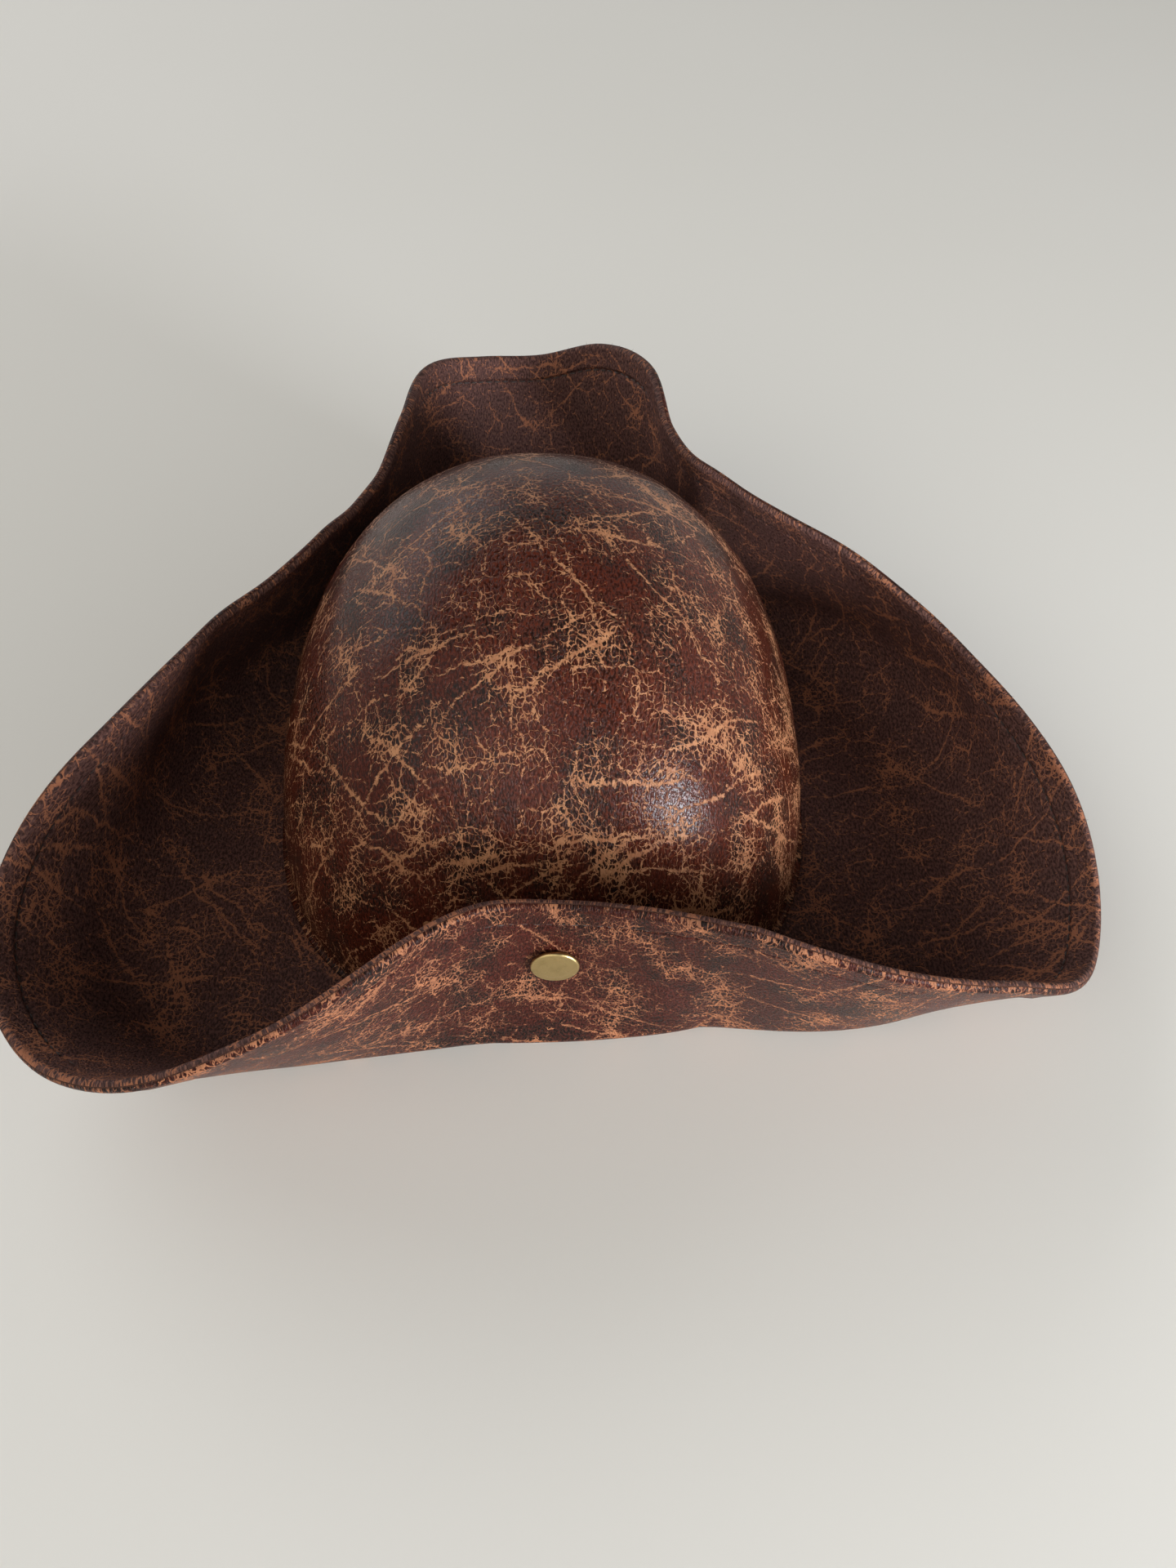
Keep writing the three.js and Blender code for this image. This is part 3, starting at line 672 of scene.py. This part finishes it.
# %% Thread and fibre materials
def fibre_material(name, dark, light, size, roughness):
    """Spun fibre: two colours in fine streaks, a soft sheen and a fine relief."""
    material = bpy.data.materials.new(name)
    material.use_nodes = True
    tree = material.node_tree
    tree.nodes.clear()
    here = add_node(tree, "ShaderNodeTexCoord").outputs["Object"]
    strands = add_node(tree, "ShaderNodeTexNoise", {"Vector": here, "Scale": 1 / size, "Detail": 2})
    spun = add_node(tree, "ShaderNodeMix", {
        "Factor": strands.outputs["Fac"], 6: colour(dark), 7: colour(light)}, data_type="RGBA")
    relief = add_node(tree, "ShaderNodeBump", {
        "Height": strands.outputs["Fac"], "Strength": 0.6, "Distance": 0.0001})
    shader = add_node(tree, "ShaderNodeBsdfPrincipled", {
        "Base Color": spun.outputs[2], "Roughness": roughness, "Normal": relief.outputs[0],
        "Sheen Weight": 0.2, "Sheen Roughness": 0.5})
    add_node(tree, "ShaderNodeOutputMaterial", {"Surface": shader.outputs[0]})
    return material


thread = fibre_material("waxed_polyester_thread", "241813", "3c2a21", STREAK_SIZE, 0.55)
fluff = fibre_material("frayed_backing_fibres", "3a2a22", "8a6c58", FLUFF_SIZE, 0.85)
print("fibre materials", thread.name, fluff.name)


# %% Tree that sets a form along a path
def along_path(name, form, material, turned):
    """Tree that sets the form at even steps of a path. turned is its random turn in radians."""
    tree = bpy.data.node_groups.new(name, "GeometryNodeTree")
    tree.interface.new_socket("Path", socket_type="NodeSocketGeometry")
    sockets = {}
    for label, kind in (("Step", "NodeSocketFloat"), ("Size", "NodeSocketVector"),
                        ("Least size", "NodeSocketFloat"), ("Seed", "NodeSocketInt")):
        sockets[label] = tree.interface.new_socket(label, socket_type=kind).identifier
    tree.interface.new_socket("Geometry", in_out="OUTPUT", socket_type="NodeSocketGeometry")
    given = add_node(tree, "NodeGroupInput").outputs
    curve = add_node(tree, "GeometryNodeMeshToCurve", {"Mesh": given["Path"]})
    steps = add_node(tree, "GeometryNodeResampleCurve", {
        "Curve": curve.outputs[0], "Length": given["Step"]}, mode="LENGTH")
    tangent = add_node(tree, "GeometryNodeInputTangent")
    along = add_node(tree, "FunctionNodeAlignRotationToVector", {
        "Vector": tangent.outputs[0]}, axis="X")
    spread = add_node(tree, "FunctionNodeRandomValue", {
        "Min": (-turned,) * 3, "Max": (turned,) * 3, "Seed": given["Seed"]},
        data_type="FLOAT_VECTOR")
    loose = add_node(tree, "FunctionNodeEulerToRotation", {0: spread.outputs["Value"]})
    both = add_node(tree, "FunctionNodeRotateRotation", {
        "Rotation": along.outputs[0], "Rotate By": loose.outputs[0]}, rotation_space="LOCAL")
    grown = add_node(tree, "FunctionNodeRandomValue", {
        2: given["Least size"], 3: 1.0, "Seed": given["Seed"]}, data_type="FLOAT")
    size = add_node(tree, "ShaderNodeVectorMath", {
        0: given["Size"], "Scale": grown.outputs[1]}, operation="SCALE")
    base = add_node(tree, *form)
    placed = add_node(tree, "GeometryNodeInstanceOnPoints", {
        "Points": steps.outputs[0], "Instance": base.outputs["Mesh"], "Rotation": both.outputs[0],
        "Scale": size.outputs[0]})
    real = add_node(tree, "GeometryNodeRealizeInstances", {"Geometry": placed.outputs[0]})
    smooth = add_node(tree, "GeometryNodeSetShadeSmooth", {"Geometry": real.outputs[0]})
    coated = add_node(tree, "GeometryNodeSetMaterial", {
        "Geometry": smooth.outputs[0], "Material": material})
    add_node(tree, "NodeGroupOutput", {0: coated.outputs[0]})
    return tree, sockets


STITCH_FORM = ("GeometryNodeMeshUVSphere", {"Segments": 6, "Rings": 5, "Radius": 1.0})
FIBRE_FORM = ("GeometryNodeMeshCone", {
    "Vertices": 3, "Radius Top": 0.3, "Radius Bottom": 1.0, "Depth": 1.0})
stitch_tree, stitch_sockets = along_path("stitches", STITCH_FORM, thread, 0.06)
fibre_tree, fibre_sockets = along_path("fibres", FIBRE_FORM, fluff, math.pi)
print("trees", stitch_tree.name, fibre_tree.name)

# %% Stitches and fibres
stitches = grow("hem_stitches", stitch_tree, {
    "Step": STITCH_STEP, "Size": (STITCH_LENGTH / 2, THREAD / 2, THREAD / 2), "Least size": 0.9,
    "Seed": 4}, stitch_sockets, seam_path)
fibres = grow("edge_fibres", fibre_tree, {
    "Step": FIBRE_STEP, "Size": (FIBRE / 2, FIBRE / 2, FIBRE_LENGTH), "Least size": 0.3, "Seed": 9},
    fibre_sockets, edge_path)
for piece in (stitches, fibres):
    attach(piece, "root")

# %% [markdown]
# ## The brass snaps
#
# Each snap is turned and pressed from thin brass: a slightly domed cap with a rolled rim on
# the flap, a post through the leather, a socket between flap and crown, and a washer inside.
# It is a lathe shape, so a profile is turned round the snap's own axis. That axis stands
# square on the flap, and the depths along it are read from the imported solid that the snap
# takes the place of. Satin brass is a metal with a fine turned grain, so its roughness
# varies a little and its colour dulls in spots.

# %% Brass material
TURNED_GRAIN, DULL_SPOTS = 0.0006, 0.003    # sizes in metres
brass = bpy.data.materials.new("satin_brass")
brass.use_nodes = True
tree = brass.node_tree
tree.nodes.clear()
here = add_node(tree, "ShaderNodeTexCoord").outputs["Object"]
fine = add_node(tree, "ShaderNodeTexNoise", {
    "Vector": here, "Scale": 1 / TURNED_GRAIN, "Detail": 3})
spots = add_node(tree, "ShaderNodeTexNoise", {
    "Vector": here, "Scale": 1 / DULL_SPOTS, "Detail": 3})
dulled = add_node(tree, "ShaderNodeMapRange", {
    "Value": spots.outputs["Fac"], "From Min": 0.5, "From Max": 0.8})
metal = add_node(tree, "ShaderNodeMix", {
    "Factor": dulled.outputs[0], 6: colour("c0a874"), 7: colour("b09a66")}, data_type="RGBA")
rough = add_node(tree, "ShaderNodeMapRange", {
    "Value": fine.outputs["Fac"], "From Min": 0.3, "From Max": 0.7, "To Min": 0.26, "To Max": 0.4})
bumps = add_node(tree, "ShaderNodeBump", {
    "Height": fine.outputs["Fac"], "Strength": 0.25, "Distance": 0.00005})
shader = add_node(tree, "ShaderNodeBsdfPrincipled", {
    "Base Color": metal.outputs[2], "Metallic": 1.0, "Roughness": rough.outputs[0],
    "Normal": bumps.outputs[0]})
add_node(tree, "ShaderNodeOutputMaterial", {"Surface": shader.outputs[0]})
print("brass", brass.name)

# %% Snaps
SNAPS = {"snap_front": -88.0, "snap_left": 127.0, "snap_right": 53.0}
SNAP_HEIGHT, CAP_RADIUS, POST_RADIUS = 0.044, 0.0065, 0.0018
SOCKET_RADIUS, WASHER_RADIUS = 0.004, 0.005
CAP_THICKNESS, LEAST_STEP = 0.0012, 0.0002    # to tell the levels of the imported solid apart
EDGE_EASE, SOCKET_EASE, CAP_SWELL, RIM_DIP = 0.0002, 0.0003, 0.0002, 0.00012
RIM_RADIUS, TURNS, CURVE_STEPS = 0.0007, 64, 8
SEARCH_STEPS, SHARP_ANGLE = 4000, math.radians(40)
for name, angle in SNAPS.items():
    flat, _, _, _, width, _ = brim_sizes(angle)
    reach = np.linspace(flat, width, SEARCH_STEPS)
    along = reach[np.argmax(brim_point(angle, reach)[:, 2] >= SNAP_HEIGHT)]
    seat, axis = Vector(brim_point(angle, along)), Vector(brim_normal(angle, along))
    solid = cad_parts[name].data.vertices
    depths = sorted({round((v.co - seat).dot(axis), 5) for v in solid})
    cap_top, washer_end = depths[-1], depths[0]
    under_cap = [d for d in depths if d < cap_top - CAP_THICKNESS][-1]
    washer_top, socket_end, socket_top = [d for d in depths if d < under_cap - LEAST_STEP][1:4]
    outline = [(0, washer_end)]
    for radius, ease, near, far in ((WASHER_RADIUS, EDGE_EASE, washer_end, washer_top),
                                    (SOCKET_RADIUS, SOCKET_EASE, socket_end, socket_top)):
        outline += [(radius - ease, near), (radius, near + ease), (radius, far - ease),
                    (radius - ease, far), (POST_RADIUS, far)]
        outline += [(POST_RADIUS, socket_end)] if radius == WASHER_RADIUS else []
    outline.append((POST_RADIUS, under_cap))
    for k in range(CURVE_STEPS + 1):
        turn = -math.pi / 2 + math.pi * k / CURVE_STEPS
        outline.append((CAP_RADIUS - RIM_RADIUS + RIM_RADIUS * math.cos(turn),
                        under_cap + RIM_RADIUS + RIM_RADIUS * math.sin(turn)))
    crest = outline[-1][1]
    for k in range(1, CURVE_STEPS + 1):
        share = k / CURVE_STEPS
        dip = RIM_DIP * math.sin(math.pi * min(share * 4, 1))
        swell = (cap_top - crest + CAP_SWELL) * (1 - (1 - share) ** 2)
        outline.append(((CAP_RADIUS - RIM_RADIUS) * (1 - share), crest + swell - dip))
    turner = bmesh.new()
    side = axis.orthogonal().normalized()
    up = axis.cross(side)
    rings = []
    for radius, depth in outline:
        spot = seat + axis * depth
        if radius == 0:
            rings.append([turner.verts.new(spot)])
            continue
        rings.append([turner.verts.new(spot + (side * math.cos(t) + up * math.sin(t)) * radius)
                      for t in (2 * math.pi * k / TURNS for k in range(TURNS))])
    for a, b in zip(rings, rings[1:]):
        for k in range(TURNS):
            corners = [a[k % len(a)], a[(k + 1) % len(a)], b[(k + 1) % len(b)], b[k % len(b)]]
            turner.faces.new(list(dict.fromkeys(corners)))
    bmesh.ops.recalc_face_normals(turner, faces=turner.faces)
    mesh = bpy.data.meshes.new(name + "_brass")
    turner.to_mesh(mesh)
    turner.free()
    mesh.polygons.foreach_set("use_smooth", [True] * len(mesh.polygons))
    mesh.set_sharp_from_angle(angle=SHARP_ANGLE)
    mesh.materials.append(brass)
    snap = bpy.data.objects.new(name + "_brass", mesh)
    bpy.context.scene.collection.objects.link(snap)
    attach(snap, "root")
    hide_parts(name)
    print(name, "seat", [round(c, 4) for c in seat], "depths", depths)

# %% [markdown]
# ## Floor, light and camera
#
# The hat stands on a plain pale floor. A small lamp low on the right gives the highlight on
# the crown, a large one behind on the left gives the sheen along the dome, and a large one in
# front on the left lights the near flap. Pale surroundings, darker overhead, fill the rest.
# The camera looks down at 51 degrees from close by, so the perspective is strong: the crown,
# which is nearer, looks large against the brim.

# %% Floor
floor_material = bpy.data.materials.new("plain_matt_floor")
floor_material.use_nodes = True
tree = floor_material.node_tree
tree.nodes.clear()
here = add_node(tree, "ShaderNodeTexCoord").outputs["Object"]
soft = add_node(tree, "ShaderNodeTexNoise", {"Vector": here, "Scale": 3.0, "Detail": 2})
pale = add_node(tree, "ShaderNodeMix", {
    "Factor": soft.outputs["Fac"], 6: colour("f0eee6"), 7: colour("ebe9df")}, data_type="RGBA")
shader = add_node(tree, "ShaderNodeBsdfPrincipled", {
    "Base Color": pale.outputs[2], "Roughness": 0.7})
add_node(tree, "ShaderNodeOutputMaterial", {"Surface": shader.outputs[0]})
floor_mesh = bpy.data.meshes.new("floor")
FAR = 4    # metres from the middle to each side
floor_mesh.from_pydata([(-FAR, -FAR, 0), (FAR, -FAR, 0), (FAR, FAR, 0), (-FAR, FAR, 0)], [],
                       [(0, 1, 2, 3)])
floor_mesh.materials.append(floor_material)
floor = bpy.data.objects.new("floor", floor_mesh)
bpy.context.scene.collection.objects.link(floor)
print("floor", floor.name)

# %% Lights
scene = bpy.context.scene
scene.view_settings.view_transform = "Standard"
world = bpy.data.worlds.new("studio_walls")
world.use_nodes = True
walls = world.node_tree
way_out = add_node(walls, "ShaderNodeTexCoord").outputs["Generated"]
ray = add_node(walls, "ShaderNodeSeparateXYZ", {0: way_out})
glow = add_node(walls, "ShaderNodeMapRange", {
    "Value": ray.outputs["Z"], "From Min": 0.72, "From Max": 0.40, "To Min": 0.05, "To Max": 0.80})
walls.nodes["Background"].inputs["Color"].default_value = colour("f0f0f0")
walls.links.new(glow.outputs[0], walls.nodes["Background"].inputs["Strength"])
scene.world = world
LIGHT_TARGET = Vector((0, 0, 0.06))
# Azimuth and elevation in degrees, distance, width and height in metres, watts and tint
LIGHTS = {
    "window_right": (-41, 7, 1.3, 0.44, 0.35, 24, "f4f7ff"),
    "window_left": (138, 28, 3.5, 3.6, 2.2, 48, "fafaff"),
    "window_front": (-122, 40, 3.5, 4.4, 2.8, 50, "fffaf4"),
}
for name, (azimuth, elevation, away, wide, tall, watts, tint) in LIGHTS.items():
    lamp = bpy.data.lights.new(name, "AREA")
    lamp.shape, lamp.size, lamp.size_y, lamp.energy = "RECTANGLE", wide, tall, watts
    lamp.color = colour(tint)[:3]
    light = bpy.data.objects.new(name, lamp)
    scene.collection.objects.link(light)
    a, e = math.radians(azimuth), math.radians(elevation)
    way = Vector((math.cos(a) * math.cos(e), math.sin(a) * math.cos(e), math.sin(e)))
    light.location = way * away + LIGHT_TARGET
    light.rotation_euler = way.to_track_quat("Z", "Y").to_euler()
print("lights", list(LIGHTS))

# %% Camera
LENS, SENSOR = 28.125, 36.0
PITCH, ROLL, YAW = math.radians(51), math.radians(1.5), math.radians(2.5)
CAMERA_HEIGHT, CAMERA_BACK, CAMERA_SIDE = 0.323, 0.262, 0.015
camera_data = bpy.data.cameras.new("camera")
camera_data.sensor_fit, camera_data.sensor_height, camera_data.lens = "VERTICAL", SENSOR, LENS
camera_data.clip_start = 0.01
camera = bpy.data.objects.new("camera", camera_data)
scene.collection.objects.link(camera)
spin = Matrix.Rotation(-YAW, 4, "Z")
place = spin @ Vector((CAMERA_SIDE, -CAMERA_BACK, 0)) + CENTRE + Vector((0, 0, CAMERA_HEIGHT))
look = Matrix.Rotation(math.pi / 2 - PITCH, 4, "X") @ Matrix.Rotation(ROLL, 4, "Z")
camera.matrix_world = Matrix.Translation(place) @ spin @ look
scene.camera = camera
print("camera at", [round(c, 4) for c in place])
